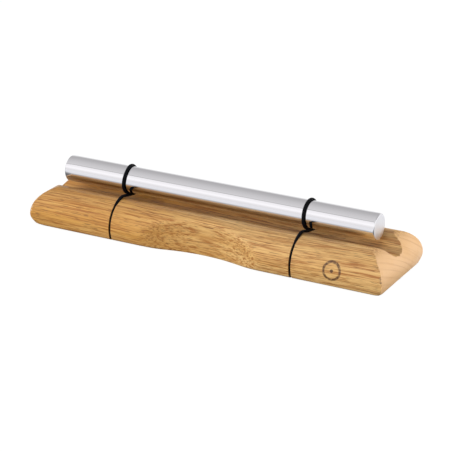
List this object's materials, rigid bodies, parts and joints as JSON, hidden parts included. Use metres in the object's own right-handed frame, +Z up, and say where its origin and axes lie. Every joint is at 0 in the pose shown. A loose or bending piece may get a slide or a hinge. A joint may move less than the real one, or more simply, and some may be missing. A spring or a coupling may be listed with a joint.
{
  "type": "chime bar",
  "caption": "Tuned aluminium chime bar carried in black elastic cord loops over a grooved hardwood base with finger scoops at its waist.",
  "frame": {"origin": "middle of the base's flat underside, on the surface that it stands on", "axes": "+X along the bar to the player's right, +Y to the back, +Z up"},
  "size_m": [0.188, 0.0464, 0.0323],
  "materials": {
    "wood": "oiled, fine open grain, satin",
    "bar": "polished, drawn along its length",
    "cord": "braided textile over rubber"
  },
  "bodies": {
    "stand": {"base": "wood", "left_cord_seat": "cord", "right_cord_seat": "cord"},
    "cord_turns": {"left_cord_turn": "cord", "right_cord_turn": "cord"},
    "bar": {"chime_bar": "bar"}
  },
  "joints": [
    {"name": "bar_bounce", "type": "slide", "parent": "stand", "child": "cord_turns", "axis": [0, 0, 1], "range_m": [-0.0025, 0.004], "stiffness_N_per_m": 600, "springref_m": 0.00098, "deforming": ["left_cord_turn", "right_cord_turn"]},
    {"name": "bar_slide", "type": "slide", "parent": "cord_turns", "child": "bar", "axis": [1, 0, 0], "range_m": [-0.03, 0.03]}
  ]
}
